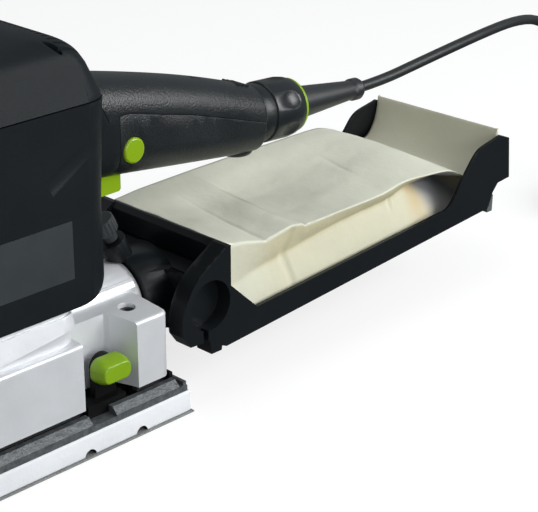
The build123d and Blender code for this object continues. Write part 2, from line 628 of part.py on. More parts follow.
def brush(side, wide, tall, y0, y1):
    low, high = sorted((side * y0, side * y1))
    return block(SHAFT_X - wide / 2, SHAFT_X + wide / 2, low, high, BRUSH_Z - tall / 2, BRUSH_Z + tall / 2)


def carbon_brushes():
    return Compound(children=[brush(s, 6, 10, COMM_R + FIT, COMM_R + 16) for s in (-1, 1)])


def brush_holders():
    wall = inner_half(BRUSH_Z - 8) - 0.2
    holders = []
    for s in (-1, 1):
        holders.append(brush(s, 11, 15, COMM_R + 3, wall) - brush(s, 6, 10, COMM_R + 2, wall - 4))
    return Compound(children=holders)


def bearing_bridge():
    """Cross bar that holds the upper bearing between the housing's side walls."""
    wall = inner_half(BRIDGE_Z) - 0.2
    top = BRIDGE_Z + UPPER_BEARING_H + 4
    bridge = block(SHAFT_X - 17, SHAFT_X + 17, -wall, wall, BRIDGE_Z, top)
    bridge -= post(SHAFT_X, 0, BRIDGE_Z - 1, BRIDGE_Z + UPPER_BEARING_H, UPPER_BEARING_R)
    bridge -= post(SHAFT_X, 0, BRIDGE_Z - 1, top - 1, TAIL_R + 3)
    return bridge


def upper_bearing():
    return tube(SHAFT_X, 0, BRIDGE_Z + 0.2, BRIDGE_Z + UPPER_BEARING_H, TAIL_R + FIT, UPPER_BEARING_R)


def electronics_module():
    """Speed control block fixed to the rear wall below the handle's mouth."""
    x1 = BODY_X1 - BODY_WALL
    return block(x1 - 22, x1, -22, 22, 113, 134)


# ================================================================ speed dial
DIAL_X, DIAL_Z, DIAL_R, DIAL_T = 16.0, 176.0, 12.0, 2.2


def dial_face():
    """Y of the housing's far side at the dial."""
    return inner_half(DIAL_Z) + BODY_WALL


def speed_dial():
    """Ribbed thumb wheel sunk in the far side of the housing."""
    y0 = dial_face() - DIAL_T + RUN
    dial = bar_y(DIAL_X, y0, y0 + 3.2, DIAL_Z, DIAL_R)
    notch = bar_y(DIAL_X + DIAL_R + 0.6, y0 + 1, y0 + 4, DIAL_Z, 1.2)
    for i in range(18):
        spin = Pos(DIAL_X, 0, DIAL_Z) * Rot(0, 20 * i, 0) * Pos(-DIAL_X, 0, -DIAL_Z)
        dial -= spin * notch
    return dial


# ================================================================ handle
def trigger_slot():
    half = TRIGGER_W / 2 + RUN
    return block(TRIGGER_X0 - RUN, TRIGGER_X1 + RUN, -half, half, TRIGGER_Z0 - 2, BUTTON_Z - 6)


def button_hole():
    return bar_y(BUTTON_X, -40, -10, BUTTON_Z, BUTTON_R + RUN)


def handle_end():
    """Everything behind the handle's end face, with the mouth for the supply inlet."""
    return along_inlet(block(0, 30, -40, 40, -40, 40) + bar_x(-8, 1, 0, 0, INLET_NECK_R + 0.5))


def handle_lower():
    """Lower shell of the grip with the screw boss under its end."""
    grip = handle_solid() & block(TRUNK_X + SEAM, INLET_X + 5, -40, 40, 100, 230)
    boss = post(BOSS_X, 0, BOSS_Z, 128, BOSS_R)
    grip += fillet(boss.edges().filter_by(GeomType.CIRCLE).sort_by(Axis.Z)[0], 3.5)
    grip -= handle_solid(HANDLE_WALL) & block(TRUNK_X - 1, INLET_X - 4, -40, 40, 100, 230)
    grip -= above_seam(-SEAM / 2)
    grip -= trigger_slot()
    grip -= button_hole()
    return grip - handle_end()


def handle_upper():
    """Upper shell, with a small notch on its crown and three fine ribs at its end."""
    grip = handle_solid() & block(56, INLET_X + 5, -40, 40, 100, 230)
    grip -= handle_solid(HANDLE_WALL) & block(55, INLET_X - 4, -40, 40, 100, 230)
    grip &= Pos(SEAM, 0, 0) * above_seam(SEAM / 2)
    grip -= block(164, 172, -6, 1, 173.2, 180)
    for x in (199.5, 203.0, 206.5):
        grip += bar_y(x, -7, 7, grip_top(x) - 0.4, 0.9)
    return grip - handle_end()


def grip_top(x):
    """Height of the grip's crown near its end."""
    (xa, za, ha, _), (xb, zb, hb, _) = HANDLE[-2:]
    part = (x - xa) / (xb - xa)
    return za + ha / 2 + (zb + hb / 2 - za - ha / 2) * part


def trigger():
    half = TRIGGER_W / 2
    shape = block(TRIGGER_X0, TRIGGER_X1, -half, half, TRIGGER_Z0, TRIGGER_Z0 + TRIGGER_H)
    return fillet(shape.edges().filter_by(Axis.Y).group_by(Axis.Z)[0], 2.0)


def lock_button():
    """Round button that holds the trigger in."""
    button = bar_y(BUTTON_X, -BUTTON_FACE, -14.0, BUTTON_Z, BUTTON_R)
    return fillet(button.faces().sort_by(Axis.Y)[0].edges(), 1.6)


def switch_module():
    """Switch block on the floor of the lower shell, behind the trigger."""
    return block(116, 150, -12, 12, 120, 155) & handle_solid(HANDLE_WALL + RUN)


def handle_screws():
    """Screw in the boss under the handle's end."""
    return Compound(children=[post(BOSS_X, 0, BOSS_Z - 0.9, BOSS_Z, 4.0)])


# ================================================================ supply inlet and connector
def along_inlet(shape):
    """Place a form modelled along +X from the handle's end face."""
    return Pos(INLET_X, 0, INLET_Z) * Rot(0, INLET_TILT, 0) * shape


def turned_form(points):
    """A solid of revolution about X from (x, radius) points."""
    face = make_face(Polyline(*points, close=True))
    return revolve(Plane.XY * face, Axis.X)


def power_inlet():
    """Socket moulding clamped in the handle's end."""
    x0 = 0.6
    body = turned_form([(x0, 0), (x0, INLET_R - 0.3), (x0 + 0.6, INLET_R), (INLET_L, INLET_R), (INLET_L, 0)])
    body += bar_x(-11, x0, 0, 0, INLET_NECK_R)
    return along_inlet(body)


def cord_connector():
    """Rotary lock plug: gripping dimples round a barrel that rounds off at the rear."""
    x0, x1, r = INLET_L + 0.3, INLET_L + PLUG_CAP_L, PLUG_CAP_R
    body = turned_form([(x0, 0), (x0, r - 0.6), (x0 + 0.6, r), (x1 - 8, r),
                        (x1 - 3.5, r - 0.7), (x1, r - 2.0), (x1, 0)])
    dimple = Pos((x0 + x1) / 2 + 0.5, 0, r + DIMPLE_R - DIMPLE_DEPTH) * Sphere(DIMPLE_R)
    for i in range(DIMPLES):
        body -= Rot(360 * i / DIMPLES, 0, 0) * dimple
    return along_inlet(body)


def connector_ring():
    x0, r = INLET_L + PLUG_CAP_L, PLUG_CAP_R
    return along_inlet(turned_form([(x0, 0), (x0, r - 1.9), (x0 + RING_L * 0.5, r - 2.0),
                                    (x0 + RING_L, r - 2.8), (x0 + RING_L, 0)]))


def cord_boot():
    """Tapered strain relief with a thick end collar."""
    x0 = INLET_L + PLUG_CAP_L + RING_L
    x1 = cord_exit_x()
    body = turned_form([(x0, 0), (x0, BOOT_R0 + 1.5), (x0 + 3, BOOT_R0), (x1 - 9, BOOT_R1 - 0.4),
                        (x1 - 7, BOOT_R1 + 0.5), (x1 - 2, BOOT_R1 + 0.5), (x1, BOOT_R1 - 0.6), (x1, 0)])
    return along_inlet(body)


def cord_exit_x():
    """Distance along the connector's axis from the handle's end face to the first cord point."""
    x, _, z = CORD_ROUTE[0]
    return sqrt((x - INLET_X) ** 2 + (z - INLET_Z) ** 2)


# ================================================================ cord, coil and plug
def route_radii(points):
    """The largest arc that each corner's two runs leave room for."""
    vectors = [Vector(*p) for p in points]
    radii = []
    for a, b, c in zip(vectors, vectors[1:], vectors[2:]):
        shorter = min((b - a).length, (c - b).length)
        turn = radians((b - a).get_angle(c - b))
        radii.append(0.45 * shorter / tan(turn / 2))
    return radii


def cord_tube(points, name):
    radii = route_radii(points)
    print(name, "arc radii", [round(r) for r in radii])
    path = FilletPolyline(*points, radius=radii)
    start = Vector(*points[0])
    way = (Vector(*points[1]) - start).normalized()
    body = sweep(Plane(origin=start, z_dir=way) * Circle(CORD_D / 2), path=path)
    print(name, "length", round(path.length, 1), "volume ratio",
          round(body.volume / (pi * CORD_D ** 2 / 4 * path.length), 4))
    return body


def cord_coil():
    """Outer shape of the tied coil that the rest of the cord is wound into."""
    return fillet(tube(COIL_X, COIL_Y, 0, COIL_H, COIL_IN, COIL_OUT).edges(), 3.0)


def mains_plug():
    """Two-pin moulded plug lying on its flat side."""
    z = PLUG_H / 2
    face = Plane(origin=(PLUG_X + PLUG_L, PLUG_Y, z), x_dir=(0, 1, 0), z_dir=(1, 0, 0))
    back = Plane(origin=(PLUG_X + 8, PLUG_Y, z), x_dir=(0, 1, 0), z_dir=(1, 0, 0))
    neck = Plane(origin=(PLUG_X, PLUG_Y, z), x_dir=(0, 1, 0), z_dir=(1, 0, 0))
    body = loft([neck * RectangleRounded(14, 12, 5), back * RectangleRounded(PLUG_W - 6, PLUG_H - 3, 8)])
    body += loft([back * RectangleRounded(PLUG_W - 6, PLUG_H - 3, 8), face * RectangleRounded(PLUG_W, PLUG_H, 9)])
    return body


def plug_pins():
    x0 = PLUG_X + PLUG_L
    pins = []
    for s in (-1, 1):
        pins.append(bar_x(x0, x0 + PIN_L, PLUG_Y + s * PIN_PITCH / 2, PLUG_H / 2, PIN_R))
    return Compound(children=pins)


# ================================================================ dust cradle
TAIL_BACK = [(382.5, 49.4), (386.5, 58.6), (391.5, 63.9), (403.5, 65.0), (401.2, 93.2)]


def tray_z(x):
    """Height of the tray's underside, which rises to the rear."""
    return TRAY_Z0 + (x - TRAY_X0) * (TRAY_Z1 - TRAY_Z0) / (TRAY_X1 - TRAY_X0)


def side_plate_outline():
    """Side plate: rounded nose, low rail along the bag and the swept-up tail."""
    front = Spline((142.0, HEADER_TOP), (132.0, 86.7), (119.0, 78.0), (111.0, 67.0), (107.8, 46.8))
    tail = Spline((333.0, 58.8), (342.5, 61.2), (350.6, 71.1), (360.4, 82.7), (369.5, 91.6), (378.0, 94.2), (391.5, 96.8))
    corners = [
        (107.8, 46.8), (113.0, 39.4), (128.0, 38.6), (129.0, 29.8), (137.0, 29.8), (138.0, 34.6),
        (140.0, 34.6), (TRAY_X0, TRAY_Z0), (TRAY_X1, TRAY_Z1), *TAIL_BACK, (391.5, 96.8)]
    inside = [(333.0, 58.8), (166.0, 47.8), (HEADER_X1, 67.7), (HEADER_X1, HEADER_TOP), (142.0, HEADER_TOP)]
    return make_face([front, Polyline(*corners), tail, Polyline(*inside)])


def cheek_outline():
    """Front corner of the cradle, which is a deep box behind the side plate."""
    return side_plate_outline() & (Pos(112, 60) * Rectangle(2 * (HEADER_X1 - 112), 90))


def cradle_tray():
    """Moulded cradle: side plates, floor, header box, collar and tail wall."""
    half = CRADLE_W / 2
    plate = side_plate_outline()
    tray = side_slab(plate, -half, -half + PLATE_WALL) + side_slab(plate, half - PLATE_WALL, half)
    cheek = cheek_outline()
    tray += side_slab(cheek, -half, -CHEEK_IN) + side_slab(cheek, CHEEK_IN, half)
    x0, x1, top = HEADER_X0, HEADER_X1, HEADER_TOP
    header = outline_of([(x0, 40), (x0, SHELF_Z), (x1 - 4.3, SHELF_Z + 2.8), (x1 - 4.3, top - 3), (x1 - 1.5, top),
                         (x1, top), (x1, tray_z(x1)), (TRAY_X0, TRAY_Z0), (x0 + 4, 34)])
    tray += side_slab(header, -half, half)
    bulge = make_face([Spline((x0 + 1, -38), (x0 - 4, -25), (x0 - 9, -10), (x0 - 9, 10), (x0 - 4, 25), (x0 + 1, 38)),
                       Line((x0 + 1, 38), (x0 + 1, -38))])
    tray += slab(bulge, 37, SHELF_Z - 0.5)
    tray -= block(x1 - 5, x1 - 2.5, -50, 50, SHELF_Z + 2.2, SHELF_Z + 4.0)
    t, end = 2.2, 382.0
    floor = outline_of([(x1 - 1, tray_z(x1 - 1)), (end, tray_z(end)), (end, tray_z(end) + t), (x1 - 1, tray_z(x1 - 1) + t)])
    tray += side_slab(floor, -half, half)
    tail = outline_of([(380.2, 49.0), *TAIL_BACK, (398.8, 93.6), (400.9, 67.3), (390.4, 66.2), (384.2, 59.6)])
    tray += side_slab(tail, -half, half)
    # collar round the outlet pipe, and the air way through the header
    tray += bar_x(COLLAR_X0, x0 + 1, 0, DUCT_Z, COLLAR_R) - block(100, 140, -40, 40, 0, 32)
    tray += clamp_frame() * Pos(0, 0, 1.5) * Cylinder(8, 13)
    tray -= block(90, COLLAR_X0 - 0.4, -30, 30, 60, DUCT_Z + NECK_R + 0.6)
    tray -= bar_x(COLLAR_X0 - 1, STUB_X1 + 1, 0, DUCT_Z, COLLAR_BORE)
    tray -= bar_x(COLLAR_X0 + 8, COLLAR_X0 + 12, 0, DUCT_Z, COLLAR_BORE + 2.6)
    tray -= bar_x(STUB_X1, x1 + 1, 0, DUCT_Z, DUCT_R + 0.5)
    tray -= clamp_frame() * Cylinder(SHOE_R + FIT, 30)
    # blind round ports in the outer faces of the cheeks
    for side in (-1, 1):
        y0, y1 = sorted((side * (half - PORT_DEPTH), side * (half + 1)))
        tray -= bar_y(PORT_X, y0, y1, PORT_Z, PORT_R)
        y0, y1 = sorted((side * (half - 6), side * (half + 1)))
        tray -= block(PORT_X - 6, PORT_X - 2.2, y0, y1, 36, PORT_Z - PORT_R + 1.5)
    # ribs that keep the bag's card against the header
    for side in (-1, 1):
        y0, y1 = sorted((side * (BAG_W / 2 + 0.5), side * (half - 1)))
        tray += block(x1 + FLANGE_T + 2 * RUN + 0.2, x1 + FLANGE_T + 3, y0, y1, 40, 60)
    return tray


def collar_seal():
    x0 = COLLAR_X0 + 8
    ring = bar_x(x0, x0 + 4, 0, DUCT_Z, COLLAR_BORE + 2.6)
    return ring - bar_x(x0 - 1, x0 + 5, 0, DUCT_Z, COLLAR_BORE - 0.1)


def tail_clip():
    """Small spring tab on the cradle's tail."""
    outline = outline_of([(382.9, 44.8), (388.0, 44.8), (388.5, 56.0), (386.0, 56.2), (383.1, 49.5)])
    return side_slab(outline, -54.0, -47.0)


# ================================================================ clamp screw
SHOE_R, KNOB_R = 3.0, 7.2


def clamp_frame():
    """Frame on the clamp screw's axis, Z up along it, origin on the collar's crown."""
    return Pos(CLAMP_X, 0, CLAMP_Z) * Rot(0, -CLAMP_TILT, 0)


def clamp_knob():
    """Knurled thumb screw on a plain neck."""
    knob = Pos(0, 0, 19.5) * Cylinder(KNOB_R, 10.0)
    knob = chamfer(knob.edges().filter_by(GeomType.CIRCLE), 1.0)
    groove = Pos(KNOB_R + 0.3, 0, 19.5) * Cylinder(0.8, 12)
    for i in range(18):
        knob -= Rot(0, 0, 20 * i) * groove
    knob += Pos(0, 0, 11.8) * Cylinder(4.4, 6.0)
    knob -= Pos(0, 0, 10.8) * Cylinder(SHOE_R + RUN, 7.0)
    return clamp_frame() * knob


def clamp_shoe():
    """Tip that the thumb screw drives on to the outlet pipe."""
    z0, z1 = -8.6, 8.0
    return clamp_frame() * Pos(0, 0, (z0 + z1) / 2) * Cylinder(SHOE_R, z1 - z0)


# ================================================================ filter bag
def bag_body():
    """Closed paper bag, plain: its true outer size with rounded long edges."""
    x0, x1 = HEADER_X1 + RUN + FLANGE_T, BAG_X1
    lift = 2.2 + 0.6
    side = outline_of([(x0, tray_z(x0) + lift), (x1, tray_z(x1) + lift), (x1, 78), (FOLD_X, 81), (x0, 90)])
    body = side_slab(side, -BAG_W / 2, BAG_W / 2)
    return fillet(body.edges().filter_by(Plane.XZ).sort_by(SortBy.LENGTH)[-4:], 2.5)


def bag_card():
    """Card plate at the bag's mouth, round hole in line with the header's air way."""
    x0 = HEADER_X1 + RUN
    half = CRADLE_W / 2 - PLATE_WALL - 0.5
    card = block(x0, x0 + FLANGE_T, -half, half, 36, 90)
    return card - bar_x(x0 - 1, x0 + FLANGE_T + 1, 0, DUCT_Z, DUCT_R + 0.5)


def bag_flap():
    """Folded end of the bag that curves up along the tail wall."""
    low = Spline((FOLD_X, 82.0), (372.0, 81.4), (385.5, 88.0), (392.0, 99.4))
    high = Spline((FOLD_X, 83.2), (371.4, 82.6), (384.4, 89.0), (390.8, 99.9))
    face = make_face([low, Line((392.0, 99.4), (390.8, 99.9)), high, Line((FOLD_X, 82.0), (FOLD_X, 83.2))])
    return side_slab(face, -BAG_W / 2 + 1, BAG_W / 2 - 1)


# ================================================================ build
NODES = {
    "abrasive_sheet": abrasive_sheet,
    "pad_foam": pad_foam,
    "pad_plate": pad_plate,
    "end_strips": end_strips,
    "pad_carrier": pad_carrier,
    "crank_bearing": crank_bearing,
    "lever_knob_rear": lever_knob,
    "lever_shaft_rear": lever_shaft,
    "lever_knob_front": lambda: turned(lever_knob()),
    "lever_shaft_front": lambda: turned(lever_shaft()),
    "motor_shaft": motor_shaft,
    "counterweight": counterweight,
    "dust_fan": lambda: bladed_fan(DUST_FAN_Z, DUST_FAN_H, DUST_FAN_R, 12.0, 8, 2.0),
    "cooling_fan": lambda: bladed_fan(FAN_Z, FAN_H, FAN_R, 13.0, 10, 2.0),
    "armature_core": armature_core,
    "armature_windings": armature_windings,
    "commutator": commutator,
    "base_casting": base_casting,
    "lower_bearing": lower_bearing,
    "exhaust_stub": exhaust_stub,
    "dust_skirt": dust_skirt,
    "elastic_mounts": elastic_mounts,
    "block_screws": block_screws,
    "motor_housing": motor_housing,
    "top_cap": top_cap,
    "label_panel": label_panel,
    "housing_screws": housing_screws,
    "stator_core": stator_core,
    "field_coils": field_coils,
    "carbon_brushes": carbon_brushes,
    "brush_holders": brush_holders,
    "bearing_bridge": bearing_bridge,
    "upper_bearing": upper_bearing,
    "electronics_module": electronics_module,
    "speed_dial": speed_dial,
    "handle_lower": handle_lower,
    "handle_upper": handle_upper,
    "trigger": trigger,
    "lock_button": lock_button,
    "switch_module": switch_module,
    "handle_screws": handle_screws,
    "power_inlet": power_inlet,
    "cord_connector": cord_connector,
    "connector_ring": connector_ring,
    "cord_boot": cord_boot,
    "power_cord": lambda: cord_tube(CORD_ROUTE, "power_cord"),
    "cord_coil": cord_coil,
    "cord_tail": lambda: cord_tube(TAIL_ROUTE, "cord_tail"),
    "mains_plug": mains_plug,
    "plug_pins": plug_pins,
    "cradle_tray": cradle_tray,
    "collar_seal": collar_seal,
    "tail_clip": tail_clip,
    "clamp_knob": clamp_knob,
    "clamp_shoe": clamp_shoe,
    "bag_body": bag_body,
    "bag_card": bag_card,
    "bag_flap": bag_flap,
}

os.makedirs("parts", exist_ok=True)
for name, make in NODES.items():
    export_step(make(), f"parts/{name}.step")
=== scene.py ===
"""Half-sheet orbital sander with a paper filter bag in a rear cradle. Metres, +Z up, +X to the rear."""
from math import copysign, cos, pi, radians, sin, tau

import bmesh
import bpy
from mathutils import Matrix, Vector
from mathutils.noise import noise


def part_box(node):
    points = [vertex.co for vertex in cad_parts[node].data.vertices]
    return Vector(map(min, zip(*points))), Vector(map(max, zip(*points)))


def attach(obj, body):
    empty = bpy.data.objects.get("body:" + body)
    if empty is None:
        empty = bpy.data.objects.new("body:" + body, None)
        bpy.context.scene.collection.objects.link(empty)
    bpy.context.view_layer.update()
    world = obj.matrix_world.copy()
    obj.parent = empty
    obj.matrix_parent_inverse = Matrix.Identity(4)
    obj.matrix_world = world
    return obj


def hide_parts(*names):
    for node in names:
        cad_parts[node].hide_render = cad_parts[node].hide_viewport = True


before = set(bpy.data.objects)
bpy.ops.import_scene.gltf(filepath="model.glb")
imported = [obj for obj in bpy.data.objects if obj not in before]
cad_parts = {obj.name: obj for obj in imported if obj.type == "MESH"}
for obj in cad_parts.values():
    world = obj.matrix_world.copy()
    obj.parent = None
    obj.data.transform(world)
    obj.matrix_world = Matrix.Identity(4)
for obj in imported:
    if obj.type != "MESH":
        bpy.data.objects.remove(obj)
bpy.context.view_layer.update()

scene = bpy.context.scene


# ---------------------------------------------------------------- studio
# A plain white table, a soft grey room and three softboxes. None of it belongs to the sander.
# The camera stands off the near front corner of the pad and looks down across the grip and cradle.
TABLE_HALF, TABLE_Z = 9, -0.0004
TABLE_FINISH = {
    "Base Color": (0.30, 0.30, 0.30, 1), "Roughness": 0.95, "Specular IOR Level": 0.0,
    "Emission Color": (1, 1, 1, 1), "Emission Strength": 0.74}
ROOM_TINT, ROOM_LOW, ROOM_HIGH = (0.92, 0.97, 1, 1), 0.12, 0.36
GRADIENT_FOOT, GRADIENT_HEAD = -0.35, 0.45  # how steeply down and up the room stops changing
SOFTBOXES = (  # name, place, target, size and watts
    ("key_light", (1.02, -1.12, 0.80), (0.12, 0, 0.1), 0.8, 20),
    ("front_light", (-0.1, -1.7, 0.45), (0.12, 0, 0.1), 1.0, 12),
    ("top_light", (-0.1, 0.2, 1.7), (0.15, 0, 0.1), 0.9, 5))
CAMERA_PLACE = (-0.4749, -0.6989, 0.4683)
LOOK, UP = Vector((0.65348, 0.64668, -0.39340)), Vector((0.27963, 0.27672, 0.91937))
LENS_MM, SENSOR_MM, NEAREST = 115.1, 36.0, 0.01


def piece(name, data):
    """Put a mesh, curve, light or camera in the scene under its name."""
    made = bpy.data.objects.new(name, data)
    scene.collection.objects.link(made)
    return made


def set_range(node, start, end, low, high):
    """Make a Map Range node turn start..end into low..high."""
    for socket, number in (("From Min", start), ("From Max", end), ("To Min", low), ("To Max", high)):
        node.inputs[socket].default_value = number


table = bpy.data.meshes.new("table")
table_corners = [(x * TABLE_HALF, y * TABLE_HALF, TABLE_Z) for x, y in ((-1, -1), (1, -1), (1, 1), (-1, 1))]
table.from_pydata(table_corners, [], [(0, 1, 2, 3)])
table_top = piece("table_top", table)
table_paint = bpy.data.materials.new("table_paint")
table_paint.use_nodes = True
for socket, setting in TABLE_FINISH.items():
    table_paint.node_tree.nodes["Principled BSDF"].inputs[socket].default_value = setting
table.materials.append(table_paint)
table_top.visible_diffuse = table_top.visible_glossy = False

scene.view_settings.view_transform = "Standard"
room = bpy.data.worlds.new("room")
room.use_nodes = True
room_nodes, room_link = room.node_tree.nodes, room.node_tree.links.new
walls = room_nodes["Background"]
direction = room_nodes.new("ShaderNodeTexCoord")
steepness = room_nodes.new("ShaderNodeSeparateXYZ")
brightness = room_nodes.new("ShaderNodeMapRange")
set_range(brightness, GRADIENT_FOOT, GRADIENT_HEAD, ROOM_LOW, ROOM_HIGH)
room_link(direction.outputs["Generated"], steepness.inputs["Vector"])
room_link(steepness.outputs["Z"], brightness.inputs["Value"])
room_link(brightness.outputs["Result"], walls.inputs["Strength"])
walls.inputs["Color"].default_value = ROOM_TINT
scene.world = room

for name, place, target, size, watts in SOFTBOXES:
    panel = bpy.data.lights.new(name, "AREA")
    panel.size, panel.energy = size, watts
    lamp = piece(name, panel)
    lamp.location = place
    lamp.rotation_euler = (Vector(target) - Vector(place)).to_track_quat("-Z", "Y").to_euler()

camera = bpy.data.cameras.new("camera")
camera.lens, camera.sensor_width, camera.clip_start = LENS_MM, SENSOR_MM, NEAREST
camera_stand = piece("camera_stand", camera)
turn = Matrix((LOOK.cross(UP).normalized(), UP, -LOOK)).transposed().to_4x4()
camera_stand.matrix_world = Matrix.Translation(CAMERA_PLACE) @ turn
scene.camera = camera_stand


# ---------------------------------------------------------------- abrasive sheet
# Half sheet of coated abrasive, 115 by 225 mm, hook backed and punched with ten dust holes.
# It is pressed on to the foam and peels off when worn.
FIRST_SHADE, SECOND_SHADE, MIXED_SHADE = 6, 7, 2  # colour sockets of a Mix node
ROUGH_DRIFT = 0.04  # how far a finish's roughness strays to either side


def mixed(tree, amount, first, second):
    """A colour between two, going by amount; either may be a colour or another node's output."""
    mix = tree.nodes.new("ShaderNodeMix")
    mix.data_type = "RGBA"
    tree.links.new(amount, mix.inputs[0])
    for socket, shade in ((FIRST_SHADE, first), (SECOND_SHADE, second)):
        if isinstance(shade, tuple):
            mix.inputs[socket].default_value = (*shade, 1)
        else:
            tree.links.new(shade, mix.inputs[socket])
    return mix.outputs[MIXED_SHADE]


def paint(name, colour, rough, drift=0.12, drift_size=0.03, metal=0.0, gloss=0.5, grain=(),
          stretch=None, speckle=None):
    """A finish whose colour and roughness drift slowly, with relief of each (size, depth) in grain.

    stretch draws the pattern out along an axis; speckle is (size, colour, amount) of fine flecks.
    """
    made = bpy.data.materials.new(name)
    made.use_nodes = True
    tree = made.node_tree
    shader = tree.nodes["Principled BSDF"]
    link = tree.links.new
    pattern_place = tree.nodes.new("ShaderNodeTexCoord").outputs["Object"]
    if stretch:
        squeeze = tree.nodes.new("ShaderNodeMapping")
        squeeze.inputs["Scale"].default_value = stretch
        link(pattern_place, squeeze.inputs["Vector"])
        pattern_place = squeeze.outputs["Vector"]

    def cloud(size, detail):
        found = tree.nodes.new("ShaderNodeTexNoise")
        found.inputs["Scale"].default_value = 1.0 / size
        found.inputs["Detail"].default_value = detail
        link(pattern_place, found.inputs["Vector"])
        return found.outputs["Fac"]

    def ranged(value, low, high, start=0.3, end=0.7):
        found = tree.nodes.new("ShaderNodeMapRange")
        set_range(found, start, end, low, high)
        link(value, found.inputs["Value"])
        return found.outputs["Result"]

    slow = cloud(drift_size, 5.0)
    dark, light = (tuple(min(1.0, c * k) for c in colour) for k in (1 - drift, 1 + drift))
    shade = mixed(tree, ranged(slow, 0, 1), dark, light)
    if speckle:
        size, fleck, amount = speckle
        shade = mixed(tree, ranged(cloud(size, 2.0), 0, 1, 0.72 - amount, 0.78 - amount), shade, fleck)
    link(shade, shader.inputs["Base Color"])
    link(ranged(slow, rough - ROUGH_DRIFT, rough + ROUGH_DRIFT), shader.inputs["Roughness"])
    shader.inputs["Metallic"].default_value = metal
    shader.inputs["Specular IOR Level"].default_value = gloss
    relief = None
    for size, depth in grain:
        raised = tree.nodes.new("ShaderNodeBump")
        raised.inputs["Distance"].default_value = depth
        link(cloud(size, 3.0), raised.inputs["Height"])
        if relief:
            link(relief, raised.inputs["Normal"])
        relief = raised.outputs["Normal"]
    if relief:
        link(relief, shader.inputs["Normal"])
    return made


def wear(material, *names):
    """Give parts or pieces that finish."""
    for name in names:
        mesh = bpy.data.objects[name].data
        mesh.materials.clear()
        mesh.materials.append(material)


coated_abrasive = paint("coated_abrasive", (0.27, 0.285, 0.28), 0.85, grain=[(0.0005, 0.0003)],
                        speckle=(0.0006, (0.16, 0.16, 0.16), 0.2))
wear(coated_abrasive, "abrasive_sheet")


# ---------------------------------------------------------------- foam pad
# White closed-cell foam, 13 mm thick, with softly rounded edges and a skin of cut cells. Ten holes
# go through it, and a half-round channel runs out to the long edge from all but the middle pair.
MM = 0.001
HOLE_PITCH, HOLE_Y = 37, 40  # millimetres along the pad, and out from its middle line
HOLE_COLUMNS = range(-2, 3)
FOAM_HOLE, FOAM_CHANNEL, FOAM_EDGE = 4.5 * MM, 4.2 * MM, 1.4 * MM
HOLE_LOW, HOLE_HIGH, CHANNEL_END = -0.02, 0.03, 0.08  # cutters run past the foam
BAR_SIDES = 24


def by_angle(mesh, degrees):
    """Smooth shading, kept crisp where faces meet at more than that angle."""
    mesh.polygons.foreach_set("use_smooth", [True] * len(mesh.polygons))
    mesh.set_sharp_from_angle(angle=radians(degrees))


def round_bar(name, start, end, radius):
    """A closed round bar from one point to another, to cut with."""
    bar = bmesh.new()
    start, end = Vector(start), Vector(end)
    run = end - start
    bmesh.ops.create_cone(bar, cap_ends=True, segments=BAR_SIDES, radius1=radius, radius2=radius,
                          depth=run.length)
    lie = Matrix.Translation((start + end) / 2) @ run.to_track_quat("Z", "Y").to_matrix().to_4x4()
    bmesh.ops.transform(bar, matrix=lie, verts=bar.verts)
    data = bpy.data.meshes.new(name)
    bar.to_mesh(data)
    return data


foam_low, foam_high = (Vector(corner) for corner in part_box("pad_foam"))
block = bmesh.new()
bmesh.ops.create_cube(block, size=1)
foam_size = Matrix.Diagonal((*(foam_high - foam_low), 1))
bmesh.ops.transform(block, matrix=Matrix.Translation((foam_low + foam_high) / 2) @ foam_size,
                    verts=block.verts)
bmesh.ops.bevel(block, geom=block.edges[:], offset=FOAM_EDGE, segments=4, profile=0.5, affect="EDGES")
foam_data = bpy.data.meshes.new("foam_pad_cushion")
block.to_mesh(foam_data)
foam_pad = piece("foam_pad_cushion", foam_data)
white_foam = paint("white_foam", (0.765, 0.785, 0.81), 0.85, drift=0.03, gloss=0.2,
                   grain=[(0.0009, 0.00015), (0.012, 0.0006)])
foam_data.materials.append(white_foam)
# The walls of the holes and channels are painted near black: painted shade in the recesses.
painted_shade_foam = paint("painted_shade_foam", (0.02, 0.021, 0.022), 0.9, gloss=0.1, grain=[(0.001, 0.0003)])

bores = []
for row in (-1, 1):
    for column in HOLE_COLUMNS:
        x, y = column * HOLE_PITCH * MM, row * HOLE_Y * MM
        bores.append(round_bar("foam_hole", (x, y, HOLE_LOW), (x, y, HOLE_HIGH), FOAM_HOLE))
        if column:
            edge = (x, row * CHANNEL_END, foam_low.z)
            bores.append(round_bar("foam_channel", (x, y, foam_low.z), edge, FOAM_CHANNEL))
cutters = []
for k, bore in enumerate(bores):
    bore.materials.append(painted_shade_foam)
    cutter = piece(f"foam_cutter_{k}", bore)
    cutters.append(cutter)
    cut = foam_pad.modifiers.new("cut", "BOOLEAN")
    cut.operation, cut.object, cut.solver, cut.material_mode = "DIFFERENCE", cutter, "EXACT", "TRANSFER"
bpy.context.view_layer.update()
carved = bpy.data.meshes.new_from_object(foam_pad.evaluated_get(bpy.context.evaluated_depsgraph_get()))
foam_pad.modifiers.clear()
foam_pad.data = carved
for cutter in cutters:
    bpy.data.objects.remove(cutter)
by_angle(carved, 35)
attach(foam_pad, "pad")
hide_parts("pad_foam")


# ---------------------------------------------------------------- pad plate and carrier
# Rough-cast aluminium plate with a raised rim along each long edge, left as it came from the die.
# A black moulded carrier sits on it, and a black stop strip stands up across each end.
def break_edges(name, width, segments=2, angle=35):
    """Round a part's sharp edges by that many millimetres, as moulding or casting leaves them."""
    owner = bpy.data.objects[name]
    weld = owner.modifiers.new("weld", "WELD")
    weld.merge_threshold = 0.00002
    bevel = owner.modifiers.new("bevel", "BEVEL")
    bevel.width, bevel.segments, bevel.limit_method = width * MM, segments, "ANGLE"
    bevel.angle_limit, bevel.harden_normals, bevel.use_clamp_overlap = radians(angle), True, True


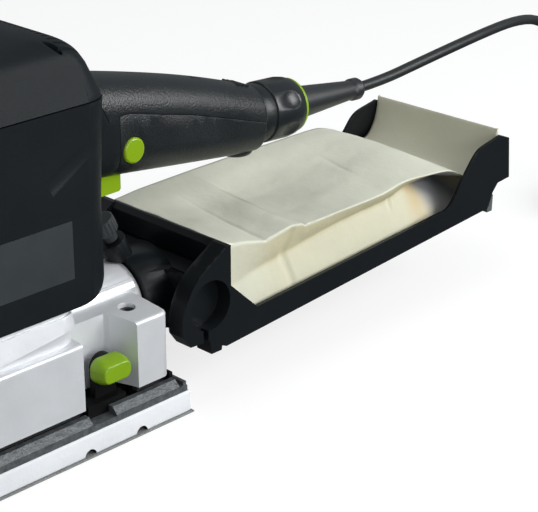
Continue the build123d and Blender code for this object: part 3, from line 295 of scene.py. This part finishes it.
rough_cast_plate = paint("rough_cast_plate", (0.095, 0.104, 0.110), 0.5, metal=0.3, drift=0.3,
                         drift_size=0.004, grain=[(0.0016, 0.0005), (0.006, 0.0009)])
wear(rough_cast_plate, "pad_plate")
break_edges("pad_plate", 0.7, angle=30)
carrier_nylon = paint("carrier_nylon", (0.004, 0.0042, 0.0045), 0.5, gloss=0.12, grain=[(0.001, 0.0001)])
wear(carrier_nylon, "pad_carrier", "end_strips")
break_edges("end_strips", 0.5, angle=30)


# ---------------------------------------------------------------- clamping levers
# A lime knob on a steel pin at two corners of the pad; a quarter turn grips the pad plate.
# The knobs are moulded in satin nylon with a softly rounded face.
lime_nylon = paint("lime_nylon", (0.205, 0.36, 0.007), 0.34, drift=0.04, gloss=0.45,
                   grain=[(0.0009, 0.00004)])
ground_steel = paint("ground_steel", (0.55, 0.55, 0.57), 0.3, metal=1.0, drift=0.05,
                     grain=[(0.0008, 0.00005)])
for corner in ("rear", "front"):
    wear(lime_nylon, f"lever_knob_{corner}")
    break_edges(f"lever_knob_{corner}", 0.7, 3, 40)
    wear(ground_steel, f"lever_shaft_{corner}")


# ---------------------------------------------------------------- motor and orbital drive
# Steel shaft with an eccentric crank pin, an iron counterweight, two nylon fans and the wound armature.
# They turn inside the casting and the motor housing, where the field coils and the brushes are fixed.
# The switch sits in the grip and the speed electronics behind the motor.
wear(ground_steel, "motor_shaft", "crank_bearing", "lower_bearing", "upper_bearing")
turned_iron = paint("turned_iron", (0.28, 0.28, 0.29), 0.42, metal=1.0, grain=[(0.001, 0.0001)])
wear(turned_iron, "counterweight")
fan_nylon = paint("fan_nylon", (0.03, 0.032, 0.034), 0.5, grain=[(0.001, 0.0001)])
wear(fan_nylon, "dust_fan", "cooling_fan")
laminated_steel = paint("laminated_steel", (0.3, 0.3, 0.31), 0.4, metal=1.0, stretch=(0.05, 0.05, 1),
                        grain=[(0.0005, 0.0001)])
wear(laminated_steel, "armature_core", "stator_core")
enamelled_copper = paint("enamelled_copper", (0.66, 0.30, 0.14), 0.32, metal=1.0, stretch=(0.1, 0.1, 1),
                         grain=[(0.0008, 0.0003)])
wear(enamelled_copper, "armature_windings", "field_coils", "commutator")
carbon_block = paint("carbon_block", (0.02, 0.02, 0.02), 0.6, grain=[(0.0006, 0.0001)])
wear(carbon_block, "carbon_brushes")
motor_moulding = paint("motor_moulding", (0.05, 0.05, 0.055), 0.5, grain=[(0.001, 0.0001)])
wear(motor_moulding, "brush_holders", "bearing_bridge", "switch_module", "electronics_module")


# ---------------------------------------------------------------- base casting
# Die-cast aluminium, shot blasted to an even satin grey, with edges rounded by the die. Four black
# socket screws in its corner blocks hold the rubber posts that keep the pad level.
blasted_casting = paint("blasted_casting", (0.73, 0.745, 0.77), 0.36, metal=0.3, drift=0.03,
                        drift_size=0.02, grain=[(0.0007, 0.00006), (0.009, 0.0003)])
wear(blasted_casting, "base_casting")
break_edges("base_casting", 1.1, 3, 28)
black_screws = paint("black_screws", (0.05, 0.053, 0.056), 0.35, metal=0.9, drift=0.1)
wear(black_screws, "block_screws", "housing_screws", "handle_screws")
black_rubber = paint("black_rubber", (0.012, 0.012, 0.013), 0.75, gloss=0.3, grain=[(0.001, 0.0002)])
wear(black_rubber, "dust_skirt", "elastic_mounts", "collar_seal")


# ---------------------------------------------------------------- motor housing and top cover
# Glass-filled nylon, spark textured and nearly black. The cover is dropped on with a shadow gap,
# and the name plate's recess is left bare with a smoother panel.
casing_nylon = paint("casing_nylon", (0.0100, 0.0128, 0.0147), 0.46, drift=0.10, drift_size=0.05,
                     gloss=0.09, grain=[(0.0006, 0.00012)])
wear(casing_nylon, "motor_housing", "top_cap", "speed_dial")
break_edges("motor_housing", 0.6)
break_edges("top_cap", 0.5)
plate_panel = paint("plate_panel", (0.034, 0.040, 0.043), 0.42, gloss=0.3, grain=[(0.0008, 0.00004)])
wear(plate_panel, "label_panel")


# ---------------------------------------------------------------- grip
# Two shells of the same textured nylon, joined along a line below the crown. The lime trigger
# and its lock button are gloss moulded, and slide in the lower shell.
grip_nylon = paint("grip_nylon", (0.0076, 0.0103, 0.0118), 0.35, drift=0.12, drift_size=0.03,
                   gloss=0.45, grain=[(0.0011, 0.00028)])
for shell in ("handle_lower", "handle_upper"):
    wear(grip_nylon, shell)
    break_edges(shell, 0.4)
lime_gloss = paint("lime_gloss", (0.225, 0.375, 0.006), 0.22, drift=0.03, gloss=0.5,
                   grain=[(0.003, 0.00005)])
wear(lime_gloss, "trigger", "lock_button")
break_edges("trigger", 0.8, 3, 40)


# ---------------------------------------------------------------- supply inlet and lock plug
# Satin black socket in the grip's end, with a rotary lock plug: a polished barrel with shallow
# finger dimples, a lime ring at its back and a rubber strain relief.
inlet_nylon = paint("inlet_nylon", (0.009, 0.0115, 0.013), 0.36, gloss=0.36, grain=[(0.0012, 0.00008)])
wear(inlet_nylon, "power_inlet")
break_edges("power_inlet", 0.5, 3)
plug_nylon = paint("plug_nylon", (0.0085, 0.0108, 0.0125), 0.33, gloss=0.45, grain=[(0.002, 0.00006)])
wear(plug_nylon, "cord_connector")
break_edges("cord_connector", 0.6, 3)
wear(lime_nylon, "connector_ring")
strain_rubber = paint("strain_rubber", (0.011, 0.0135, 0.0155), 0.38, gloss=0.65,
                      grain=[(0.0008, 0.00006)])
wear(strain_rubber, "cord_boot")


# ---------------------------------------------------------------- mains cord
# Seven millimetre rubber cord, held in the strain relief. It arches back over the bag, and the
# rest is wound into a tied coil behind the tool with the plug lying beside it.
CORD_D, CORD_LENGTH = 7 * MM, 4.05
CORD_ROUTE = [
    (0.312, 0.0, 0.1352), (0.336, 0.0, 0.1353), (0.368, 0.0002, 0.1386), (0.404, 0.0006, 0.142),
    (0.444, 0.0025, 0.1446), (0.484, 0.0075, 0.1442), (0.522, 0.0155, 0.137), (0.556, 0.0195, 0.119),
    (0.583, 0.0125, 0.092), (0.598, -0.005, 0.062), (0.6025, -0.030, 0.038), (0.601, -0.058, 0.0255)]
TAIL_ROUTE = [
    (0.556, -0.0085, 0.0042), (0.578, -0.0076, 0.0044), (0.600, -0.0095, 0.0085), (0.620, -0.0086, 0.013)]
COIL = Vector((0.556, -0.058, 0))
INNER_TURN, LOWEST_TURN = 29.5 * MM, 4.6 * MM  # radius of the innermost turn, height of the lowest
ROUNDS = (  # place out and place up of each turn, from the top outer one to the bottom outer one
    [(out, 3) for out in (2, 1, 0)] + [(out, 2) for out in (0, 1, 2, 3)]
    + [(out, 1) for out in (3, 2, 1, 0)] + [(out, 0) for out in (0, 1, 2, 3)])
STEPS, TURNS = 16, 14.75
STEP_OVER = 0.7  # share of a turn after which the cord moves over to the next one
LOOSE = 1.015  # the turns lie a little apart
coil_points = []
for i in range(1, int(STEPS * TURNS)):
    turn_no, part = divmod(i, STEPS)
    (out, up), (next_out, next_up) = ROUNDS[turn_no], ROUNDS[min(turn_no + 1, len(ROUNDS) - 1)]
    over = max(0.0, (part / STEPS - STEP_OVER) / (1 - STEP_OVER))
    radius = (INNER_TURN + CORD_D * (out + (next_out - out) * over)) * LOOSE
    lift = LOWEST_TURN + CORD_D * (up + (next_up - up) * over)
    angle = -tau * i / STEPS
    coil_points.append(COIL + Vector((radius * cos(angle), radius * sin(angle), lift)))

cord_line = bpy.data.curves.new("mains_cord", "CURVE")
cord_line.dimensions, cord_line.bevel_depth, cord_line.bevel_resolution = "3D", CORD_D / 2, 5
cord_line.use_fill_caps = True
route = cord_line.splines.new("NURBS")
cord_points = [*CORD_ROUTE, *coil_points, *TAIL_ROUTE]
route.points.add(len(cord_points) - 1)
for knot, point in zip(route.points, cord_points):
    knot.co = (*point, 1)
route.order_u, route.use_endpoint_u, route.resolution_u = 3, True, 4
mains_cord = piece("mains_cord", cord_line)
cord_rubber = paint("cord_rubber", (0.014, 0.0165, 0.0175), 0.40, drift=0.1, drift_size=0.02, gloss=0.4,
                    grain=[(0.0006, 0.00003)])
cord_line.materials.append(cord_rubber)
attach(mains_cord, "root")
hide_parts("power_cord", "cord_coil", "cord_tail")


# ---------------------------------------------------------------- coil tie
# A woven hook and loop strap, pulled once round all the turns of the coil.
# It is 13 mm wide and lies flat on the cord.
TIE_W, TIE_T, TIE_PLACE = 13 * MM, 0.9 * MM, radians(215)  # width, thickness, where on the coil
TIE_MIDDLE, TIE_CENTRE = 40 * MM, 15.1 * MM  # out from the coil's axis, up from the table
TIE_HALF_W, TIE_HALF_H = 14.6 * MM, 14.7 * MM
TIE_STEPS = 36
tie_mesh = bmesh.new()
hoop = []
for k in range(TIE_STEPS):
    angle = tau * k / TIE_STEPS
    out = TIE_HALF_W * copysign(abs(cos(angle)) ** 0.5, cos(angle))
    up = TIE_HALF_H * copysign(abs(sin(angle)) ** 0.5, sin(angle))
    hoop.append(Vector((out, up)))
strips = []
for inward, across in ((0, -0.5), (0, 0.5), (1, 0.5), (1, -0.5)):
    strip = []
    for spot in hoop:
        spot = spot - spot.normalized() * inward * TIE_T
        flat = Vector((TIE_MIDDLE + spot.x, across * TIE_W, TIE_CENTRE + spot.y))
        strip.append(tie_mesh.verts.new(Matrix.Rotation(TIE_PLACE, 3, "Z") @ flat + COIL))
    strips.append(strip)
for a, b in zip(strips, strips[1:] + strips[:1]):
    for k in range(TIE_STEPS):
        after = (k + 1) % TIE_STEPS
        tie_mesh.faces.new((a[k], a[after], b[after], b[k]))
bmesh.ops.recalc_face_normals(tie_mesh, faces=tie_mesh.faces)
tie_data = bpy.data.meshes.new("coil_tie")
tie_mesh.to_mesh(tie_data)
coil_tie = piece("coil_tie", tie_data)
wear(paint("tie_webbing", (0.02, 0.02, 0.022), 0.9, gloss=0.2, grain=[(0.0008, 0.0002)]), "coil_tie")
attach(coil_tie, "root")


# ---------------------------------------------------------------- mains plug
# Two-pin plug moulded on to the cord in the same rubber, with nickel plated brass pins.
# It lies on the table beside the coil.
wear(paint("plug_rubber", (0.014, 0.015, 0.016), 0.5, gloss=0.35, grain=[(0.0006, 0.00004)]), "mains_plug")
wear(paint("plated_pins", (0.75, 0.75, 0.74), 0.2, metal=1.0, drift=0.03), "plug_pins")


# ---------------------------------------------------------------- outlet pipe and cradle
# The dust outlet is a short moulded pipe that the cradle's collar slips over. The cradle is one
# satin black moulding: collar, cheeks with a round port, two side rails, floor and upturned tail.
wear(casing_nylon, "exhaust_stub")
cradle_nylon = paint("cradle_nylon", (0.0072, 0.0092, 0.0108), 0.33, drift=0.1, drift_size=0.06,
                     gloss=0.2, grain=[(0.0012, 0.00006), (0.02, 0.0002)])
wear(cradle_nylon, "cradle_tray")
break_edges("cradle_tray", 0.6)
clip_nylon = paint("clip_nylon", (0.095, 0.112, 0.105), 0.4, gloss=0.4, grain=[(0.001, 0.00005)])
wear(clip_nylon, "tail_clip")


# ---------------------------------------------------------------- clamp screw
# Grey knurled thumb screw through the collar of the cradle.
# Its steel tip bears on the outlet pipe and holds the cradle on.
screw_nylon = paint("screw_nylon", (0.037, 0.043, 0.046), 0.42, gloss=0.35, grain=[(0.0008, 0.00006)])
wear(screw_nylon, "clamp_knob")
wear(ground_steel, "clamp_shoe")
break_edges("clamp_knob", 0.3)


# ---------------------------------------------------------------- filter bag
# Two-ply paper bag with tucked side gussets, glued to a card header that slides in the cradle's
# mouth. Its tail is folded flat and stands up against the cradle's end wall. Sizes in millimetres.
BAG_FRONT, BAG_REAR, BAG_HALF, FLAP_HALF, PLY = 147.6, 372.0, 50.0, 52.0, 0.45
NEAR_EDGE = [(147.6, 91.3), (152, 89.4), (164, 87.6), (178, 84.2), (184, 84.9), (200, 86.9), (206, 86.2),
             (212, 84.5), (246, 84.4), (280, 84.6), (301, 87.2), (327, 85.4), (345, 83.0), (354, 79.8),
             (363, 74.4), (372, 72.6)]
MIDDLE = [(147.6, 91.4), (165, 89.6), (184, 86.0), (201, 87.3), (209.5, 87.0), (213, 84.7), (235, 83.6),
          (265, 86.2), (300, 89.9), (325, 91.2), (341, 88.8), (353, 82.4), (363, 75.6), (372, 73.0)]
FAR_EDGE = [(147.6, 91.5), (180, 92.4), (224, 93.1), (300, 93.1), (327, 92.5), (338, 89.6), (350, 84.7),
            (362, 77.0), (372, 73.4)]
FOLD_TUCK = [(147.6, 0.3), (171, 3.6), (193, 5.0), (241, 5.5), (292, 6.2), (307, 9.0), (320, 15.0),
             (335, 26.0), (350, 37.0), (372, 46.0)]
FOLD_HEIGHT = [(147.6, 62.0), (171, 66.0), (193, 68.0), (241, 74.2), (292, 76.8), (307, 78.2), (320, 75.6),
               (335, 71.0), (350, 68.0), (372, 63.5)]
FLAP_FRONT = [(372, 73.0), (377, 73.9), (381.3, 75.8), (385.2, 79.0), (388, 83.4), (390.1, 89.4),
              (391.2, 95), (391.7, 100.6)]
FLAP_BACK = [(372, 50.6), (378.3, 54.0), (383.6, 61.6), (388.6, 68.4), (391.2, 76.0), (392.3, 84.0),
             (393.0, 92.4), (393.5, 100.6)]
ACROSS, GUSSET_ROWS = 28, 6  # faces across the bag; rows from an edge to the tucked fold
TURN_BACK = ACROSS + 3 * GUSSET_ROWS  # where a ring passes the far gusset and starts along the underside
FOLDED_SPANS = ((176, 188), (194, 214), (288, 300))  # where folds need rings close together
WIDE_STEP, CLOSE_STEP, LAST_GAP = 2.3, 0.9, 1.5
GIVE = 0.45  # unevenness of the body's paper
FLOOR_X, UNDERSIDE_Z = 141, 33.8  # the bag's underside where the cradle's floor starts
FLOOR_RISE = 0.0728  # millimetres up for each one back


def between(value, low=0.0, high=1.0):
    """The value, kept within low and high."""
    return min(high, max(low, value))


def eased(stations, x):
    """Height on a smooth line through (x, height) stations."""
    if x <= stations[0][0]:
        return stations[0][1]
    for k in range(len(stations) - 1):
        (x0, y0), (x1, y1) = stations[k], stations[k + 1]
        if x <= x1:
            before, beyond = stations[max(k - 1, 0)], stations[min(k + 2, len(stations) - 1)]
            span = x1 - x0
            slope_in = (y1 - before[1]) / (x1 - before[0]) * span
            slope_out = (beyond[1] - y0) / (beyond[0] - x0) * span
            t = (x - x0) / span
            return ((2 * t ** 3 - 3 * t ** 2 + 1) * y0 + (t ** 3 - 2 * t ** 2 + t) * slope_in
                    + (3 * t ** 2 - 2 * t ** 3) * y1 + (t ** 3 - t ** 2) * slope_out)
    return stations[-1][1]


def fold(distance, width):
    """1 at the middle of a dent or fold, easing to 0 a width away."""
    return max(0.0, 1 - (distance / width) ** 2) ** 2


def underside(x):
    """Height of the bag's underside, lying on the sloping floor of the cradle."""
    return UNDERSIDE_Z + (x - FLOOR_X) * FLOOR_RISE


def paper_give(x, y, z, amount):
    """Slow unevenness of soft paper."""
    spot = Vector((x / 23, y / 17, z / 17))
    return amount * (noise(spot) + 0.5 * noise(spot * 2.7))


def half_width(x):
    """Half the bag's width, drawn in a little where it meets the header."""
    return BAG_HALF * (1 - 0.03 * fold(x - BAG_FRONT, 20))


def top_row(x, near, middle, far):
    """The top of the bag at one station, with its cross folds, from the near edge to the far one."""
    row = []
    for k in range(ACROSS + 1):
        t = 2 * k / ACROSS - 1
        height = near * t * (t - 1) / 2 + middle * (1 - t * t) + far * t * (t + 1) / 2
        # A crisp fold and the dip behind it, over the near part only.
        near_part = between((0.45 - t) * 4)
        height += near_part * (0.75 * fold(x - 209.3, 2.4) - 0.85 * fold(x - 212.0, 2.2))
        # A soft line nearer the header, and a short dent further back.
        height -= 0.8 * fold(x - (181 + 3 * t), 2.6) * max(0.0, 0.7 - t) * (0.4 + 0.6 * (1 - t * t))
        height -= 0.5 * fold(x - 291 - 6 * t, 2.2) * fold(t + 0.1, 0.5)
        height += paper_give(x, 50 * t, 0, GIVE) * (1 - abs(t) ** 6)
        row.append((x, half_width(x) * t, height))
    return row


def gusset(x, side, top):
    """One side of the bag at one station: down and in to the tucked fold, then out to the floor."""
    half, tuck, fold_height = half_width(x), eased(FOLD_TUCK, x), eased(FOLD_HEIGHT, x)
    rows = []
    for k in range(1, GUSSET_ROWS + 1):
        t = k / GUSSET_ROWS
        belly = 1.3 * sin(pi * t) if tuck < 10 else 0
        rows.append((half - tuck * t + belly * 0.4, top + (fold_height - top) * t))
    hollow = between((tuck - 8) / 25)
    for k in range(1, GUSSET_ROWS * 2 + 1):
        t = k / (GUSSET_ROWS * 2)
        belly = (1.8 - 0.5 * hollow) * sin(pi * t) * (1 - hollow)
        flare = tuck * (1 - t ** (1 - 0.35 * hollow))
        rows.append((half - flare + belly, fold_height + (underside(x) - fold_height) * t))
    dented = []
    for y, z in rows:
        # A long dent down the side below the crisp fold, and a short one further back.
        dent = 1.5 * fold(x - (196 + abs(z - 68) * 0.28), 4.5) * fold(z - 66, 36)
        dent += 1.2 * fold(x - (294 - 1.5 * fold(z - 75, 9)), 2.6) * fold(z - 75, 8)
        dented.append((x, side * (y - dent + paper_give(x, y * side, z, GIVE)), z))
    return dented


def body_ring(x):
    """The bag's outline at one station: top, far gusset, underside, near gusset."""
    near, middle, far = (eased(line, x) for line in (NEAR_EDGE, MIDDLE, FAR_EDGE))
    bottom = [(x, half_width(x) * (1 - 2 * k / ACROSS), underside(x)) for k in range(1, ACROSS)]
    return top_row(x, near, middle, far) + gusset(x, 1, far) + bottom + gusset(x, -1, near)[::-1]


def flap_ring(k):
    """The outline of the folded tail at its k-th station, with the gussets' layers tucked inside."""
    (front_x, front_z), (back_x, back_z) = FLAP_FRONT[k], FLAP_BACK[k]
    half = BAG_HALF + (FLAP_HALF - BAG_HALF) * between(k / 3)
    tucked = 0.9 * (1 - between((k - 1) / 3))

    def layer(t, depth):
        """A point of the tail: t across it, depth 0 on its front and 1 on its back."""
        give = paper_give(front_x, 50 * t, front_z, 0.4)
        lift = (0.35 * (1 - t) - 0.5) * k / (len(FLAP_FRONT) - 1)
        return (front_x + give + (back_x - front_x) * depth, half * t,
                front_z + lift + (back_z - front_z) * depth)

    def panel(side):
        """The two layers of one gusset, in from the front's edge and out again to the back's."""
        inner = [layer(side * (1 - tucked * j / GUSSET_ROWS), 0.5 * j / GUSSET_ROWS)
                 for j in range(1, GUSSET_ROWS + 1)]
        outer = [layer(side * (1 - tucked * (1 - j / (2 * GUSSET_ROWS))), 0.5 + 0.25 * j / GUSSET_ROWS)
                 for j in range(1, 2 * GUSSET_ROWS + 1)]
        return inner + outer

    front = [layer(2 * j / ACROSS - 1, 0) for j in range(ACROSS + 1)]
    back = [layer(1 - 2 * j / ACROSS, 1) for j in range(1, ACROSS)]
    return front + panel(1) + back + panel(-1)[::-1]


ring_places = [BAG_FRONT]
while ring_places[-1] < BAG_REAR - LAST_GAP:
    close = any(low < ring_places[-1] < high for low, high in FOLDED_SPANS)
    ring_places.append(ring_places[-1] + (CLOSE_STEP if close else WIDE_STEP))
ring_places.append(BAG_REAR)
rings = [body_ring(x) for x in ring_places] + [flap_ring(k) for k in range(1, len(FLAP_FRONT))]

bag_mesh = bmesh.new()
loops = [[bag_mesh.verts.new((x * MM, y * MM, z * MM)) for x, y, z in ring] for ring in rings]
around = len(rings[0])
for a, b in zip(loops, loops[1:]):
    for k in range(around):
        after = (k + 1) % around
        bag_mesh.faces.new((a[k], a[after], b[after], b[k])).smooth = True
seam = loops[-1]
for k in range(ACROSS):
    back = TURN_BACK + ACROSS - k
    bag_mesh.faces.new((seam[k], seam[k + 1], seam[back - 1], seam[back]))
bmesh.ops.recalc_face_normals(bag_mesh, faces=bag_mesh.faces)
creased = bag_mesh.edges.layers.float.new("crease_edge")
FOLDED_EDGES = (0, ACROSS, ACROSS + GUSSET_ROWS, TURN_BACK, around - GUSSET_ROWS, around - 3 * GUSSET_ROWS)
for a, b in zip(loops, loops[1:]):
    for k in FOLDED_EDGES:
        bag_mesh.edges.get((a[k], b[k]))[creased] = 0.9
bag_data = bpy.data.meshes.new("filter_bag")
bag_mesh.to_mesh(bag_data)
filter_bag = piece("filter_bag_paper", bag_data)
smooth = filter_bag.modifiers.new("smooth", "SUBSURF")
smooth.levels = smooth.render_levels = 1
thick = filter_bag.modifiers.new("ply", "SOLIDIFY")
thick.thickness, thick.offset = PLY * MM, -1

# The gussets are painted yellower than the top as shade, and the upper panels, which face down, most.
# Near the tail, warm brown high on the sides is painted reflected light, and the sides going into the
# hollow under the tail are painted blue grey as shade. The folded tail is made darker and yellower.
# Each shade goes by one channel of paper_tint.
SHADES = (("Red", (0.54, 0.50, 0.325)), ("Green", (0.55, 0.40, 0.20)), ("Blue", (0.48, 0.49, 0.54)))
YELLOW_X, YELLOW_EASE = 150, 40  # where each shade starts or centres, and how far it takes to change
BROWN_X, BROWN_REACH, BROWN_Z, BROWN_EASE = 326, 22, 45, 20
GREY_X, GREY_EASE, GREY_END = 331, 18, BAG_REAR + 0.5
FLAP_X, FLAP_EASE = BAG_REAR - 4, 8
filter_paper = paint("filter_paper", (0.63, 0.64, 0.535), 0.88, drift=0.035, drift_size=0.03, gloss=0.15,
                     grain=[(0.0008, 0.00012), (0.007, 0.0004)])
paper_tree = filter_paper.node_tree
paper_colour = paper_tree.nodes["Principled BSDF"].inputs["Base Color"]
tint = paper_tree.nodes.new("ShaderNodeAttribute")
tint.attribute_name = "paper_tint"
channels = paper_tree.nodes.new("ShaderNodeSeparateColor")
paper_tree.links.new(tint.outputs["Color"], channels.inputs["Color"])
ground = paper_colour.links[0].from_socket
for channel, shade in SHADES:
    ground = mixed(paper_tree, channels.outputs[channel], ground, shade)
paper_tree.links.new(ground, paper_colour)
bag_data.materials.append(filter_paper)
tints = bag_data.attributes.new("paper_tint", "FLOAT_COLOR", "POINT")
for number, vertex in enumerate(bag_data.vertices):
    k = number % around
    x, y, z = (c / MM for c in vertex.co)
    on_side = ACROSS < k < TURN_BACK or k > TURN_BACK + ACROSS
    rows_down = k - ACROSS if k <= TURN_BACK else around - k
    # Yellow is painted shade, strongest on the upper gusset panel, which faces down.
    yellow = on_side * (0.9 if rows_down <= GUSSET_ROWS else 0.45)
    yellow *= between((x - YELLOW_X) / YELLOW_EASE, 0.35)
    # Brown is painted warm reflected light, high on the sides near the tail.
    brown = on_side * 0.55 * fold(x - BROWN_X, BROWN_REACH) * between((z - BROWN_Z) / BROWN_EASE)
    # Grey is painted shade, on the sides going into the hollow under the tail.
    grey = on_side * between((x - GREY_X) / GREY_EASE) * (0.9 if x < GREY_END else 0)
    on_flap = 0.55 * between((x - FLAP_X) / FLAP_EASE)
    tints.data[number].color = (max(yellow, on_flap), brown, max(grey, on_flap * 0.3), 1)
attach(filter_bag, "filter_bag")
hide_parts("bag_body", "bag_flap")
wear(paint("header_card", (0.40, 0.40, 0.36), 0.8, gloss=0.2, grain=[(0.0008, 0.0001)]), "bag_card")
